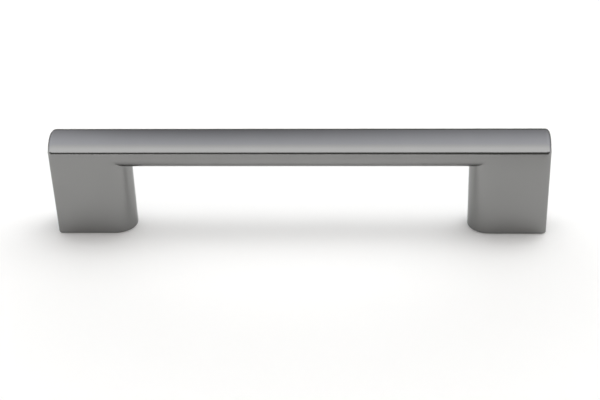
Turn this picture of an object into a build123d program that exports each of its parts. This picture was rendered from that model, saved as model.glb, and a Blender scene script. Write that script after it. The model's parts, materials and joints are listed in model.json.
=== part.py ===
# Staple handle for a drawer or cabinet door, cast in one piece.
# A crowned grip bar stands on two legs, D-shaped in plan, each with a blind screw
# hole in its sole. Millimetres, +Z away from the door, +X along the bar. The origin
# lies on the mounting plane, midway between the two screw holes.

import os
from math import radians, tan

from build123d import *

# Driving dimensions
hole_spacing = 128.0  # between the centres of the screw holes
leg_length = 24.3  # of one leg along the bar, at the arris
depth = 13.0  # front to back, at the arris
arris_height = 28.7  # of the long edges where the crown starts, above the sole
crown_rise = 3.95  # of the crown above the arris
web_height = 6.3  # of the grip below the arris
draft_angle = 0.2  # of every upright face, narrowing towards the sole

# Edges
grip_edge_radius = 4.3  # of the grip's two lower edges, which the fingers pull on
arris_radius = 1.6  # between the crown and the front or back face
end_edge_radius = 1.5  # around each end face, from sole to sole over the crown
sole_edge_radius = 0.3  # around the sole of each leg

# Screw holes, drilled from below and tapped for an M4 machine screw
thread_diameter = 4.0
bore_depth = 14.0
drill_point_angle = 118.0
mouth_chamfer = 0.4

# Worked out from the sizes above
draft_slope = tan(radians(draft_angle))
overall_length = hole_spacing + leg_length
inner_round_radius = depth / 2
inner_round_centre = hole_spacing / 2 - leg_length / 2 + inner_round_radius
grip_underside = arris_height - web_height
bore_radius = thread_diameter / 2
drill_point_length = bore_radius / tan(radians(drill_point_angle / 2))
trim_allowance = 5.0  # left beyond the end faces until they are trimmed


with BuildPart() as handle:
    # Crown: an arc over its chord, carried past both ends of the bar
    with BuildSketch(Plane.YZ.offset(-overall_length / 2 - trim_allowance)):
        with BuildLine():
            chord = Line((-depth / 2, arris_height), (depth / 2, arris_height))
            ThreePointArc(chord @ 0, (0, arris_height + crown_rise), chord @ 1)
        make_face()
    extrude(amount=overall_length + 2 * trim_allowance)

    # Web of the grip: drafted front and back, rounded along its lower edges
    with BuildSketch(Plane.YZ.offset(-hole_spacing / 2)) as web:
        with BuildLine():
            underside_half_depth = depth / 2 - draft_slope * web_height
            Polyline(
                (-depth / 2, arris_height),
                (depth / 2, arris_height),
                (underside_half_depth, grip_underside),
                (-underside_half_depth, grip_underside),
                close=True,
            )
        make_face()
        fillet(web.vertices().group_by(Axis.Y)[0], grip_edge_radius)
    extrude(amount=hole_spacing)

    # Legs: the inner side is a half-round as wide as the bar, and all sides draft in
    for side in (-1, 1):
        outer_x = side * (overall_length / 2 + trim_allowance)
        round_x = side * inner_round_centre
        with BuildSketch(Plane.XY.offset(arris_height)):
            with BuildLine():
                back = Line((outer_x, depth / 2), (round_x, depth / 2))
                inner_side = ThreePointArc(
                    back @ 1,
                    (side * (inner_round_centre - inner_round_radius), 0),
                    (round_x, -depth / 2),
                )
                front = Line(inner_side @ 1, (outer_x, -depth / 2))
                Line(front @ 1, back @ 0)
            make_face()
        extrude(amount=-arris_height, taper=draft_angle)

    # End faces: one drafted plane each, from the sole to the top of the crown
    for side in (-1, 1):
        end_plane = Plane(
            origin=(side * overall_length / 2, 0, arris_height),
            x_dir=(0, 1, 0),
            z_dir=(side, 0, -draft_slope),
        )
        split(bisect_by=end_plane, keep=Keep.BOTTOM)

    # Arrises, then the outline of each end face, which runs on from them
    fillet(handle.edges().filter_by(Axis.X).group_by(SortBy.LENGTH)[-1], arris_radius)
    end_outlines = ShapeList()
    for end_face in (handle.faces().sort_by(Axis.X)[0], handle.faces().sort_by(Axis.X)[-1]):
        end_outlines += end_face.edges().sort_by(Axis.Z)[1:]
    fillet(end_outlines, end_edge_radius)

    # Soles
    fillet(handle.faces().group_by(Axis.Z)[0].edges(), sole_edge_radius)

    # Screw holes: chamfered mouth, bore and drill point, turned about the hole's axis
    for side in (-1, 1):
        hole_x = side * hole_spacing / 2
        with BuildSketch(Plane.XZ):
            with BuildLine():
                Polyline(
                    (hole_x, 0),
                    (hole_x + bore_radius + mouth_chamfer, 0),
                    (hole_x + bore_radius, mouth_chamfer),
                    (hole_x + bore_radius, bore_depth),
                    (hole_x, bore_depth + drill_point_length),
                    close=True,
                )
            make_face()
        revolve(axis=Axis((hole_x, 0, 0), (0, 0, 1)), mode=Mode.SUBTRACT)

os.makedirs("parts", exist_ok=True)
handle.part.label = "handle"
export_step(handle.part, "parts/handle.step")
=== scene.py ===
"""A satin grey cast staple handle for a drawer or cabinet door, in a plain white studio.

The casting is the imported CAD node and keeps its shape. This script gives it its plated
finish, adds the M4 threads that the CAD solid leaves out of its two screw holes, and sets
the floor, the light and the camera. Lengths are in metres, or in millimetres where a
name or a description says so.
"""

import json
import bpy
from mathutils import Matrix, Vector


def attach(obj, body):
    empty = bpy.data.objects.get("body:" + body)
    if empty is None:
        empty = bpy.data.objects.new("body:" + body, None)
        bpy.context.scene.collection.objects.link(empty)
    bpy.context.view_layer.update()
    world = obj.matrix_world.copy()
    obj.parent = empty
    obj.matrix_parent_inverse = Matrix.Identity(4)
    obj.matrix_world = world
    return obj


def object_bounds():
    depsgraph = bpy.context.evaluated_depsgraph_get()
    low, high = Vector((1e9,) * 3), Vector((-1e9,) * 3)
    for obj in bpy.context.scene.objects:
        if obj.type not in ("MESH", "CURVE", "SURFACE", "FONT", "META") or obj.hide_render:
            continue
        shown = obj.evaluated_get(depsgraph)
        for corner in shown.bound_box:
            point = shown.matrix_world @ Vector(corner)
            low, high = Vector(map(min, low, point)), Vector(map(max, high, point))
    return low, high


bl_info = {
    "name": "Staple Handle",
    "version": (1, 0, 0),
    "blender": (4, 5, 0),
    "location": "View3D > Sidebar > Staple Handle",
    "description": "Finishes a one-piece cast cabinet handle and sets it in a studio",
    "category": "Object",
}

from math import pi, radians

import bpy
import numpy as np
from bpy.props import FloatProperty, FloatVectorProperty, IntProperty, PointerProperty
from mathutils import Matrix, Vector

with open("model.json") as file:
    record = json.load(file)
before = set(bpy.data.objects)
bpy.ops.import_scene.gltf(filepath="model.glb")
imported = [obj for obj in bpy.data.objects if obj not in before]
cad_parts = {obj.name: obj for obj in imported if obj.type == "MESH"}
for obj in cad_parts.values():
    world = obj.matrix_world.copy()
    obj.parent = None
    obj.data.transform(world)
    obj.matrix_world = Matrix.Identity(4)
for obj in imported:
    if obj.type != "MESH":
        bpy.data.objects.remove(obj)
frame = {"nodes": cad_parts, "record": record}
cad_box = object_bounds()
mounts = {mount["name"]: mount for mount in frame["record"]["mounts"]}
screw_holes = {side: mounts[f"screw_hole_{side}"] for side in ("left", "right")}
# Both holes are alike. The bore's wall lies between the chamfer of the mouth, which is as
# wide as it is deep, and the drill point
hole = screw_holes["right"]
hole_offset = hole["pos_m"][0]
hole_radius = hole["dims"]["r_mm"] / 1000
wall_bottom = hole["pos_m"][2] - hole["dims"]["length_mm"] / 2000
wall_top = hole["pos_m"][2] + hole["dims"]["length_mm"] / 2000
mouth_radius = hole_radius + wall_bottom

# The two colours that a Mix node mixes, by the number of their sockets
FIRST_COLOUR = 6
SECOND_COLOUR = 7


def hex_to_linear(code):
    """Linear RGB of an sRGB hex colour such as "8C8C8A"."""
    srgb = np.array([int(code[i : i + 2], 16) for i in (0, 2, 4)]) / 255
    linear = np.where(srgb <= 0.04045, srgb / 12.92, ((srgb + 0.055) / 1.055) ** 2.4)
    return tuple(float(channel) for channel in linear)


def add_node(tree, kind, inputs=None, **settings):
    """Add a node of a kind, set its settings, and fill its inputs.

    An input takes a value, a socket, or a node, which gives its first output in use.
    """
    node = tree.nodes.new(kind)
    for name, value in settings.items():
        setattr(node, name, value)
    for name, value in (inputs or {}).items():
        if isinstance(value, bpy.types.Node):
            value = next(socket for socket in value.outputs if socket.enabled)
        if isinstance(value, bpy.types.NodeSocket):
            tree.links.new(value, node.inputs[name])
        else:
            node.inputs[name].default_value = value
    return node


def new_material(name):
    """An empty material with its node tree."""
    material = bpy.data.materials.new(name)
    material.use_nodes = True
    material.node_tree.nodes.clear()
    return material, material.node_tree


def new_object(name, points, faces, material):
    """An object at the origin, with a mesh of points and faces in one material."""
    mesh = bpy.data.meshes.new(name)
    mesh.from_pydata(points, [], faces)
    mesh.materials.append(material)
    thing = bpy.data.objects.new(name, mesh)
    bpy.context.scene.collection.objects.link(thing)
    return thing


# Settings


class CastingFinish(bpy.types.PropertyGroup):
    """The plated skin of the casting, and the bare metal inside its screw holes."""

    plating_colour: FloatVectorProperty(
        name="Plating",
        description="Colour of the grey nickel plating",
        subtype="COLOR",
        default=hex_to_linear("8A8A89"),
        min=0,
        max=1,
    )
    bare_colour: FloatVectorProperty(
        name="Bare zinc",
        description="Colour of the cut metal in the screw holes",
        subtype="COLOR",
        default=hex_to_linear("B4B3AF"),
        min=0,
        max=1,
    )
    roughness: FloatProperty(
        name="Roughness",
        description="Softness of the reflections in the satin skin",
        default=0.15,
        min=0,
        max=1,
    )
    grain_mm: FloatProperty(
        name="Grain",
        description="Width of the blasted grain under the plating, in millimetres",
        default=0.25,
        min=0.05,
        max=2,
    )
    dent_mm: FloatProperty(
        name="Dents",
        description="Depth of the blasted grain, in millimetres",
        default=0.001,
        min=0,
        max=0.1,
        precision=4,
    )
    cloud_mm: FloatProperty(
        name="Clouding",
        description="Width of the faint clouds in the plating, in millimetres",
        default=9.0,
        min=1,
        max=60,
    )


class TappedThread(bpy.types.PropertyGroup):
    """The metric coarse thread cut in each screw hole."""

    pitch_mm: FloatProperty(
        name="Pitch",
        description="Rise of the thread in one turn, in millimetres",
        default=0.7,
        min=0.2,
        max=3,
    )
    minor_diameter_mm: FloatProperty(
        name="Minor diameter",
        description="Diameter across the crests of the thread, in millimetres",
        default=3.242,
        min=0.5,
        max=20,
    )
    depth_mm: FloatProperty(
        name="Threaded depth",
        description="Height of the last full turn above the sole, in millimetres",
        default=12.0,
        min=1,
        max=60,
    )
    steps: IntProperty(
        name="Steps",
        description="Points in one turn of the thread",
        default=40,
        min=12,
        max=128,
    )


class StudioStage(bpy.types.PropertyGroup):
    """The floor, the light and the camera."""

    floor_colour: FloatVectorProperty(
        name="Floor",
        description="Colour of the matt white card that the handle stands on",
        subtype="COLOR",
        default=hex_to_linear("FEFEFD"),
        min=0,
        max=1,
    )
    floor_size: FloatProperty(
        name="Floor size",
        description="Side of the square floor",
        subtype="DISTANCE",
        unit="LENGTH",
        default=20.0,
        min=0.3,
    )
    world_strength: FloatProperty(
        name="Studio light",
        description="Strength of the soft light from the studio's walls and ceiling",
        default=1.0,
        min=0,
    )
    lamp_strength: FloatProperty(
        name="Lamp",
        description="Strength of the soft lamp above the handle",
        default=0.96,
        min=0,
    )
    lamp_place: FloatVectorProperty(
        name="Lamp place",
        description="Where the lamp shines from: above, to the right and a little behind",
        subtype="TRANSLATION",
        unit="LENGTH",
        default=(0.46, 0.27, 0.86),
    )
    lamp_width: FloatProperty(
        name="Lamp width",
        description="Width of the soft lamp, as seen from the handle",
        subtype="ANGLE",
        unit="ROTATION",
        default=radians(50),
    )
    camera_place: FloatVectorProperty(
        name="Camera",
        description="Place of the camera",
        subtype="TRANSLATION",
        unit="LENGTH",
        default=(0.0279, -0.36851, 0.23375),
    )
    camera_pitch: FloatProperty(
        name="Look down",
        description="Angle of the camera below the horizon",
        subtype="ANGLE",
        unit="ROTATION",
        default=radians(31.431),
    )
    camera_yaw: FloatProperty(
        name="Look right",
        description="Angle of the camera to the right of straight ahead",
        subtype="ANGLE",
        unit="ROTATION",
        default=radians(-2.457),
    )
    camera_roll: FloatProperty(
        name="Roll",
        description="Turn of the camera about its own line of sight",
        subtype="ANGLE",
        unit="ROTATION",
        default=radians(-1.241),
    )
    focal_length: FloatProperty(
        name="Focal length",
        description="Focal length for a sensor 36 mm wide, in millimetres",
        default=83.138,
        min=10,
    )
    shift: FloatProperty(
        name="Shift",
        description="Sideways shift of the lens, as a share of the picture's width",
        default=-0.06634,
    )


# Casting

# How far the clouds in the plating change its colour and its roughness
CLOUD_SHADE = 0.03
CLOUD_ROUGHNESS = 0.015
# The fine dents hold back the extra shine that clean metal has at a grazing angle
GRAZING_TINT = (0.72, 0.72, 0.72, 1)
# The plating fades out this far to either side of the rim of each hole's mouth
PLATING_EDGE = 0.00005
# The bare metal goes on this far above the bore's wall, past the end of the drill point
DRILL_POINT_ROOM = 0.003


def in_screw_holes(tree, place):
    """Mask of the bare metal: within a hole's mouth, seen along the hole, and low down."""
    axes = add_node(tree, "ShaderNodeSeparateXYZ", {"Vector": place})
    either_side = add_node(
        tree, "ShaderNodeMath", {0: axes.outputs["X"]}, operation="ABSOLUTE"
    )
    across = add_node(
        tree, "ShaderNodeMath", {0: either_side, 1: hole_offset}, operation="SUBTRACT"
    )
    from_hole = add_node(
        tree, "ShaderNodeCombineXYZ", {"X": across, "Y": axes.outputs["Y"]}
    )
    radius = add_node(tree, "ShaderNodeVectorMath", {0: from_hole}, operation="LENGTH")
    within = add_node(
        tree,
        "ShaderNodeMapRange",
        {
            "Value": radius,
            "From Min": mouth_radius - PLATING_EDGE,
            "From Max": mouth_radius + PLATING_EDGE,
            "To Min": 1.0,
            "To Max": 0.0,
        },
    )
    low = add_node(
        tree,
        "ShaderNodeMath",
        {0: axes.outputs["Z"], 1: wall_top + DRILL_POINT_ROOM},
        operation="LESS_THAN",
    )
    return add_node(tree, "ShaderNodeMath", {0: within, 1: low}, operation="MULTIPLY")


def plated_zinc_satin(finish):
    """Zinc die casting, blasted and plated with grey nickel to a satin finish.

    The blasting leaves an even skin of tiny dents, so reflections are soft and have no
    direction. The plating is faintly clouded. It doesn't reach into the screw holes,
    which are drilled and tapped afterwards and show bright bare zinc.
    """
    material, tree = new_material("plated_zinc_satin")
    place = add_node(tree, "ShaderNodeTexCoord").outputs["Object"]
    clouds = add_node(
        tree,
        "ShaderNodeTexNoise",
        {"Vector": place, "Scale": 1000 / finish.cloud_mm, "Detail": 2.0},
    )
    darker = (*((1 - CLOUD_SHADE) * channel for channel in finish.plating_colour), 1)
    lighter = (*((1 + CLOUD_SHADE) * channel for channel in finish.plating_colour), 1)
    plating = add_node(
        tree,
        "ShaderNodeMix",
        {"Factor": clouds, FIRST_COLOUR: darker, SECOND_COLOUR: lighter},
        data_type="RGBA",
    )

    colour = add_node(
        tree,
        "ShaderNodeMix",
        {
            "Factor": in_screw_holes(tree, place),
            FIRST_COLOUR: plating,
            SECOND_COLOUR: (*finish.bare_colour, 1),
        },
        data_type="RGBA",
    )
    roughness = add_node(
        tree,
        "ShaderNodeMapRange",
        {
            "Value": clouds,
            "To Min": finish.roughness - CLOUD_ROUGHNESS,
            "To Max": finish.roughness + CLOUD_ROUGHNESS,
        },
    )
    # Real grain is about 0.1 mm across, and is drawn coarser so that close views show it
    grain = add_node(
        tree,
        "ShaderNodeTexNoise",
        {"Vector": place, "Scale": 1000 / finish.grain_mm, "Detail": 3.0},
    )
    dents = add_node(
        tree,
        "ShaderNodeBump",
        {"Height": grain, "Strength": 1.0, "Distance": finish.dent_mm / 1000},
    )
    skin = add_node(
        tree,
        "ShaderNodeBsdfPrincipled",
        {
            "Base Color": colour,
            "Metallic": 1.0,
            "Roughness": roughness,
            "Specular Tint": GRAZING_TINT,
            "Normal": dents,
        },
    )
    add_node(tree, "ShaderNodeOutputMaterial", {"Surface": skin})
    return material


class HANDLE_OT_finish_casting(bpy.types.Operator):
    """Give the casting its satin plated finish"""

    bl_idname = "handle.finish_casting"
    bl_label = "Finish Casting"

    def execute(self, context):
        casting = frame["nodes"]["handle"]
        casting.data.materials.clear()
        casting.data.materials.append(plated_zinc_satin(context.scene.casting_finish))
        return {"FINISHED"}


# Threads

# Half the width of the ridge at its root and at its crest, as shares of the pitch, and
# how deep its back is sunk into the hole's wall, as a share of its height
ROOT_HALF_WIDTH = 7 / 16
CREST_HALF_WIDTH = 2 / 16
SUNK = 0.06
# Height of the ridge at its two ends, as a share of its full height
FADED = 0.02
# The first turn starts this far above the lower end of the hole's wall
FIRST_TURN = 0.0003
# Sharpest turn of the surface that is shaded smooth
SMOOTH_UP_TO = radians(25)

# Tool marks are drawn coarser than the real ones, which are about 0.05 mm apart
TOOL_MARK_MM = 0.314
# A Wave Texture at scale 1 has its bands this far apart
WAVE_BAND = 2 * pi / 20
# Least and most roughness across a tool mark
MARK_ROUGHNESS = (0.24, 0.36)


def tapped_zinc_bare(finish):
    """Zinc cut by a tap: bright, with fine tool marks that run round the hole."""
    material, tree = new_material("tapped_zinc_bare")
    place = add_node(tree, "ShaderNodeTexCoord").outputs["Object"]
    marks = add_node(
        tree,
        "ShaderNodeTexWave",
        {"Vector": place, "Scale": 1000 * WAVE_BAND / TOOL_MARK_MM, "Distortion": 1.5},
        bands_direction="Z",
    ).outputs["Fac"]
    smoothest, roughest = MARK_ROUGHNESS
    roughness = add_node(
        tree,
        "ShaderNodeMapRange",
        {"Value": marks, "To Min": smoothest, "To Max": roughest},
    )
    skin = add_node(
        tree,
        "ShaderNodeBsdfPrincipled",
        {
            "Base Color": (*finish.bare_colour, 1),
            "Metallic": 1.0,
            "Roughness": roughness,
        },
    )
    add_node(tree, "ShaderNodeOutputMaterial", {"Surface": skin})
    return material


def thread_ridge(centre_x, thread):
    """The ridge of an internal thread, wound up the wall of one screw hole.

    A point is set by an angle t around the hole and a corner k of the ridge's section.
    Its radius is the wall's radius less the ridge's height times how far corner k stands
    out. Its level is the bottom's plus pitch times t over a full turn plus the corner's
    own offset. The ridge's height grows from almost nothing over the first half turn and
    fades over the last, as a tap leaves it.
    """
    pitch = thread.pitch_mm / 1000
    bottom = wall_bottom + FIRST_TURN
    height = hole_radius - thread.minor_diameter_mm / 2000
    turns = (thread.depth_mm / 1000 - bottom) / pitch
    count = int(turns * thread.steps) + 1
    angle = np.linspace(0, 2 * pi * turns, count)[:, None]
    # Corners go round the section: root, crest, crest, root, and the back in the wall
    root, crest = ROOT_HALF_WIDTH * pitch, CREST_HALF_WIDTH * pitch
    stand_out = np.array([0, 1, 1, 0, -SUNK, -SUNK])
    offset = np.array([-root, -crest, crest, root, root, -root])
    run = np.clip(np.minimum(angle, angle[-1] - angle) / pi, 0, 1)
    grown = FADED + (1 - FADED) * run * run * (3 - 2 * run)
    radius = hole_radius - height * np.where(stand_out > 0, grown, 1.0) * stand_out
    return np.stack(
        [
            centre_x + radius * np.cos(angle),
            radius * np.sin(angle),
            bottom + pitch * angle / (2 * pi) + offset,
        ],
        axis=-1,
    )


def tube_faces(rows, columns):
    """Faces of a grid of points that is closed across its columns, with both its ends."""
    start = np.arange((rows - 1) * columns).reshape(rows - 1, columns)
    beside = np.roll(start, -1, axis=1)
    quads = np.stack([start, beside, beside + columns, start + columns], axis=-1)
    first = tuple(range(columns))
    last = tuple(range((rows - 1) * columns, rows * columns))
    return [*map(tuple, quads.reshape(-1, 4).tolist()), first[::-1], last]


class HANDLE_OT_cut_threads(bpy.types.Operator):
    """Add the M4 thread in both screw holes"""

    bl_idname = "handle.cut_threads"
    bl_label = "Cut Threads"

    def execute(self, context):
        material = tapped_zinc_bare(context.scene.casting_finish)
        for side, screw_hole in screw_holes.items():
            points = thread_ridge(screw_hole["pos_m"][0], context.scene.tapped_thread)
            faces = tube_faces(*points.shape[:2])
            ridge = new_object(f"thread_{side}", points.reshape(-1, 3), faces, material)
            ridge.data.validate()
            ridge.data.shade_smooth()
            ridge.data.set_sharp_from_angle(angle=SMOOTH_UP_TO)
            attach(ridge, "root")
        return {"FINISHED"}


# Stage

# Brightness that the metal reflects. Each row has an angle in degrees, from straight up
# towards the front, and the brightness there in the middle and at the sides
REFLECTED = (
    (-95, 0.24, 0.33),
    (-77, 0.45, 0.81),
    (-60, 0.52, 0.88),
    (-32, 0.70, 1.08),
    (0, 0.98, 1.28),
    (18, 1.16, 1.36),
    (28, 1.33, 1.49),
    (36, 1.60, 1.66),
    (41, 1.72, 1.75),
    (70, 1.72, 1.75),
    (76, 0.08, 0.08),
)
# Share of the sides' brightness, by how far a reflected direction points to the right
SIDEWAYS = (
    (-0.24, 1.00),
    (-0.20, 0.29),
    (-0.17, 0.06),
    (-0.10, 0.03),
    (-0.03, 0.28),
    (0.08, 0.56),
    (0.35, 1.00),
)
# Brightness of the soft light on the floor, by the sine of its elevation: from the wall
# behind, a little to the left, and from the wall opposite to it
WALL_BEHIND = ((0, 13.2), (0.15, 9.4), (0.35, 3.4), (0.53, 0.05), (0.87, 0.05), (1, 3.5))
WALL_OPPOSITE = ((0, 0.1), (0.35, 0.15), (0.6, 0.46), (1, 0.52))
TOWARDS_WALL_BEHIND = (-0.174, 0.985, 0)
BRIGHTEST = 16.0

# Tints of the light. Beyond this angle, in degrees, the metal reflects the front's tint
FRONT_FROM = 20
FRONT_TINT = (1.00, 1.00, 1.01)
OVERHEAD_TINT = (0.98, 0.99, 1.06)
BEHIND_TINT = (0.99, 1.00, 1.01)
OPPOSITE_TINT = (1.03, 0.99, 0.97)
FLAG_TINT = (1.00, 1.00, 0.93)

# Dark cards that stand on the floor, glow at a set brightness and are seen only in the
# metal's reflections, where they paint dark reflections along the handle's top front and
# back edges.
# Each has its brightness and the places of its top corners
FLAGS = {
    "front_flag": (
        0.15,
        (
            (-0.45, -0.156, 0.073),
            (0.058, -0.081, 0.056),
            (0.066, -0.060, 0.048),
            (0.25, -0.058, 0.047),
        ),
    ),
    "back_flag": (0.24, ((-0.5, 0.14, 0.052), (0.5, 0.14, 0.052))),
}

# The floor lies this far under the soles, so that they don't share one plane
FLOOR_DROP = 0.00002

# The camera's sensor, and how near and how far it sees
SENSOR_WIDTH_MM = 36
NEAREST_SEEN = 0.01
FURTHEST_SEEN = 20


def white_card(stage):
    """Matt white card: a bright, even floor with no gloss. From below it is left out."""
    material, tree = new_material("white_card")
    card = add_node(
        tree,
        "ShaderNodeBsdfPrincipled",
        {
            "Base Color": (*stage.floor_colour, 1),
            "Roughness": 1.0,
            "Specular IOR Level": 0.0,
        },
    )
    rays = add_node(tree, "ShaderNodeLightPath")
    sides = add_node(tree, "ShaderNodeNewGeometry")
    from_below = add_node(
        tree,
        "ShaderNodeMath",
        {0: rays.outputs["Is Camera Ray"], 1: sides.outputs["Backfacing"]},
        operation="MULTIPLY",
    )
    clear = add_node(tree, "ShaderNodeBsdfTransparent")
    shown = add_node(tree, "ShaderNodeMixShader", {0: from_below, 1: card, 2: clear})
    add_node(tree, "ShaderNodeOutputMaterial", {"Surface": shown})
    return material


def dark_card(name, level):
    """Dark card that glows with one even brightness wherever the light is: a painted
    reflection.
    """
    material, tree = new_material(name)
    colour = (*(level * channel for channel in FLAG_TINT), 1)
    skin = add_node(tree, "ShaderNodeEmission", {"Color": colour})
    add_node(tree, "ShaderNodeOutputMaterial", {"Surface": skin})
    return material


def lit(level, tint):
    """Colour of a brightness and a tint, as a share of the brightest light."""
    return tuple(level / BRIGHTEST * channel for channel in tint)


def set_stops(ramp, stops):
    """Give a colour ramp its stops, each a place from 0 to 1 and the colour there."""
    ramp.elements.remove(ramp.elements[-1])
    for index, (place, colour) in enumerate(stops):
        stop = ramp.elements.new(place) if index else ramp.elements[0]
        stop.position = place
        stop.color = (*colour, 1)


def reflected_light(tree, across, back, up):
    """What the metal reflects: the middle's light and the sides' light, mixed.

    A ramp's place is the angle's share of a full turn that starts straight down, or the
    share of the way from the far left to the far right.
    """
    front = add_node(tree, "ShaderNodeMath", {0: back, 1: -1.0}, operation="MULTIPLY")
    angle = add_node(tree, "ShaderNodeMath", {0: front, 1: up}, operation="ARCTAN2")
    turn = add_node(
        tree,
        "ShaderNodeMath",
        {0: angle, 1: 1 / (2 * pi), 2: 0.5},
        operation="MULTIPLY_ADD",
    )
    sideways = add_node(
        tree, "ShaderNodeMath", {0: across, 1: 0.5, 2: 0.5}, operation="MULTIPLY_ADD"
    )
    middle_stops = []
    side_stops = []
    for degrees, in_middle, at_sides in REFLECTED:
        tint = FRONT_TINT if degrees > FRONT_FROM else OVERHEAD_TINT
        middle_stops.append((degrees / 360 + 0.5, lit(in_middle, tint)))
        side_stops.append((degrees / 360 + 0.5, lit(at_sides, tint)))
    middle = add_node(tree, "ShaderNodeValToRGB", {"Fac": turn})
    set_stops(middle.color_ramp, middle_stops)
    sides = add_node(tree, "ShaderNodeValToRGB", {"Fac": turn})
    set_stops(sides.color_ramp, side_stops)
    share = add_node(tree, "ShaderNodeValToRGB", {"Fac": sideways})
    set_stops(share.color_ramp, [(x / 2 + 0.5, (level,) * 3) for x, level in SIDEWAYS])
    return add_node(
        tree,
        "ShaderNodeMix",
        {"Factor": share, FIRST_COLOUR: middle, SECOND_COLOUR: sides},
        data_type="RGBA",
    )


def light_of_walls(tree, across, back, up):
    """Soft light on the floor, from the wall behind and from the wall opposite to it.

    The share of the wall behind is the square of how far a direction turns towards it,
    which goes from 0 straight away from it to 1 straight at it.
    """
    level = add_node(tree, "ShaderNodeCombineXYZ", {"X": across, "Y": back})
    heading = add_node(tree, "ShaderNodeVectorMath", {0: level}, operation="NORMALIZE")
    towards = add_node(
        tree,
        "ShaderNodeVectorMath",
        {0: heading, 1: TOWARDS_WALL_BEHIND},
        operation="DOT_PRODUCT",
    )
    turned = add_node(
        tree, "ShaderNodeMath", {0: towards, 1: 0.5, 2: 0.5}, operation="MULTIPLY_ADD"
    )
    share = add_node(tree, "ShaderNodeMath", {0: turned, 1: 2.0}, operation="POWER")
    behind = add_node(tree, "ShaderNodeValToRGB", {"Fac": up})
    set_stops(behind.color_ramp, [(z, lit(light, BEHIND_TINT)) for z, light in WALL_BEHIND])
    opposite = add_node(tree, "ShaderNodeValToRGB", {"Fac": up})
    set_stops(
        opposite.color_ramp, [(z, lit(light, OPPOSITE_TINT)) for z, light in WALL_OPPOSITE]
    )
    return add_node(
        tree,
        "ShaderNodeMix",
        {"Factor": share, FIRST_COLOUR: opposite, SECOND_COLOUR: behind},
        data_type="RGBA",
    )


def studio_light(scene, stage):
    """Plain studio light, with one part for what the metal reflects and one for the rest.

    The metal sees a studio that is dim behind, brighter overhead, brightest in front and
    dark at eye level. The floor is lit softly, most of all by the wall behind.
    """
    world = bpy.data.worlds.new("studio")
    scene.world = world
    world.use_nodes = True
    # Only rays that reach the world bring its light, so that each kind finds its own part
    world.cycles.sampling_method = "NONE"
    tree = world.node_tree
    tree.nodes.clear()
    direction = add_node(tree, "ShaderNodeTexCoord").outputs["Generated"]
    axes = add_node(tree, "ShaderNodeSeparateXYZ", {"Vector": direction})
    across, back, up = (axes.outputs[axis] for axis in "XYZ")
    rays = add_node(tree, "ShaderNodeLightPath")
    seen = add_node(
        tree,
        "ShaderNodeMix",
        {
            "Factor": rays.outputs["Is Glossy Ray"],
            FIRST_COLOUR: light_of_walls(tree, across, back, up),
            SECOND_COLOUR: reflected_light(tree, across, back, up),
        },
        data_type="RGBA",
    )
    background = add_node(
        tree,
        "ShaderNodeBackground",
        {"Color": seen, "Strength": BRIGHTEST * stage.world_strength},
    )
    add_node(tree, "ShaderNodeOutputWorld", {"Surface": background})


def soft_lamp(scene, stage):
    """A broad lamp that faces the middle of the handle and that the metal doesn't see."""
    lamp = bpy.data.lights.new("soft_lamp", "SUN")
    lamp.angle = stage.lamp_width
    lamp.energy = stage.lamp_strength
    holder = bpy.data.objects.new("soft_lamp", lamp)
    aim = Vector((0, 0, cad_box[1].z / 2)) - Vector(stage.lamp_place)
    turn = aim.to_track_quat("-Z", "Y")
    holder.matrix_world = Matrix.LocRotScale(stage.lamp_place, turn, None)
    holder.visible_glossy = False
    scene.collection.objects.link(holder)


def floor_and_flags(stage):
    """The floor, a flat square, and the flags, each a row of quads from floor to top."""
    corners = np.array([(-1, -1), (1, -1), (1, 1), (-1, 1)]) * stage.floor_size / 2
    points = np.column_stack([corners, np.full(4, -FLOOR_DROP)])
    floor = new_object("floor", points, [(0, 1, 2, 3)], white_card(stage))
    for name, (level, tops) in FLAGS.items():
        top = np.array(tops)
        foot = top * (1, 1, 0)
        count = len(top)
        quads = [(i, i + 1, count + i + 1, count + i) for i in range(count - 1)]
        flag = new_object(name, np.vstack([foot, top]), quads, dark_card(name, level))
        # Seen only in reflections, the flags paint the dark lines along the handle's top
        # edges
        flag.visible_camera = flag.visible_diffuse = flag.visible_shadow = False


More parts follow.
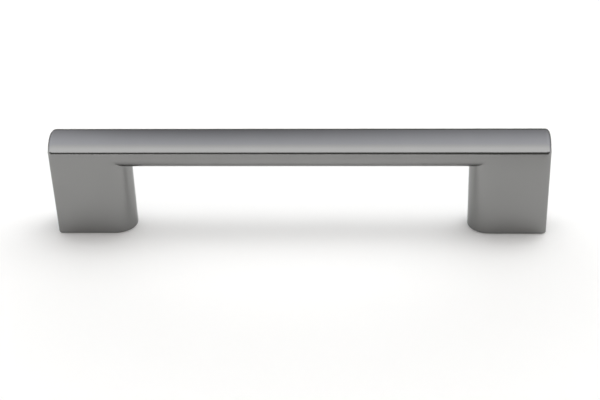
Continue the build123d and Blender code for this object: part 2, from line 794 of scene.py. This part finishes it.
def set_camera(scene, stage):
    """The camera, turned from looking along +Y by its roll, pitch and yaw."""
    camera_data = bpy.data.cameras.new("camera")
    camera_data.sensor_width = SENSOR_WIDTH_MM
    camera_data.lens = stage.focal_length
    camera_data.shift_x = stage.shift
    camera_data.clip_start = NEAREST_SEEN
    camera_data.clip_end = FURTHEST_SEEN
    camera = bpy.data.objects.new("camera", camera_data)
    turn = (
        Matrix.Rotation(-stage.camera_yaw, 4, "Z")
        @ Matrix.Rotation(pi / 2 - stage.camera_pitch, 4, "X")
        @ Matrix.Rotation(stage.camera_roll, 4, "Z")
    )
    camera.matrix_world = Matrix.Translation(stage.camera_place) @ turn
    scene.collection.objects.link(camera)
    scene.camera = camera


class HANDLE_OT_set_stage(bpy.types.Operator):
    """Set the floor, the light and the camera"""

    bl_idname = "handle.set_stage"
    bl_label = "Set Stage"

    def execute(self, context):
        scene = context.scene
        stage = scene.studio_stage
        scene.view_settings.view_transform = "Standard"
        floor_and_flags(stage)
        studio_light(scene, stage)
        soft_lamp(scene, stage)
        set_camera(scene, stage)
        return {"FINISHED"}


# Add-on


class HANDLE_PT_panel(bpy.types.Panel):
    """Settings and steps of the staple handle"""

    bl_idname = "HANDLE_PT_panel"
    bl_label = "Staple Handle"
    bl_space_type = "VIEW_3D"
    bl_region_type = "UI"
    bl_category = "Staple Handle"

    def draw(self, context):
        layout = self.layout
        scene = context.scene
        steps = (
            (HANDLE_OT_finish_casting, scene.casting_finish),
            (HANDLE_OT_cut_threads, scene.tapped_thread),
            (HANDLE_OT_set_stage, scene.studio_stage),
        )
        for step, settings in steps:
            box = layout.box()
            for name in settings.__annotations__:
                box.prop(settings, name)
            box.operator(step.bl_idname)


classes = (
    CastingFinish,
    TappedThread,
    StudioStage,
    HANDLE_OT_finish_casting,
    HANDLE_OT_cut_threads,
    HANDLE_OT_set_stage,
    HANDLE_PT_panel,
)


def register():
    for cls in classes:
        bpy.utils.register_class(cls)
    bpy.types.Scene.casting_finish = PointerProperty(type=CastingFinish)
    bpy.types.Scene.tapped_thread = PointerProperty(type=TappedThread)
    bpy.types.Scene.studio_stage = PointerProperty(type=StudioStage)


def unregister():
    del bpy.types.Scene.studio_stage
    del bpy.types.Scene.tapped_thread
    del bpy.types.Scene.casting_finish
    for cls in reversed(classes):
        bpy.utils.unregister_class(cls)


def main():
    """Build everything in order."""
    register()
    bpy.ops.handle.finish_casting()
    bpy.ops.handle.cut_threads()
    bpy.ops.handle.set_stage()


if __name__ == "__main__":
    main()
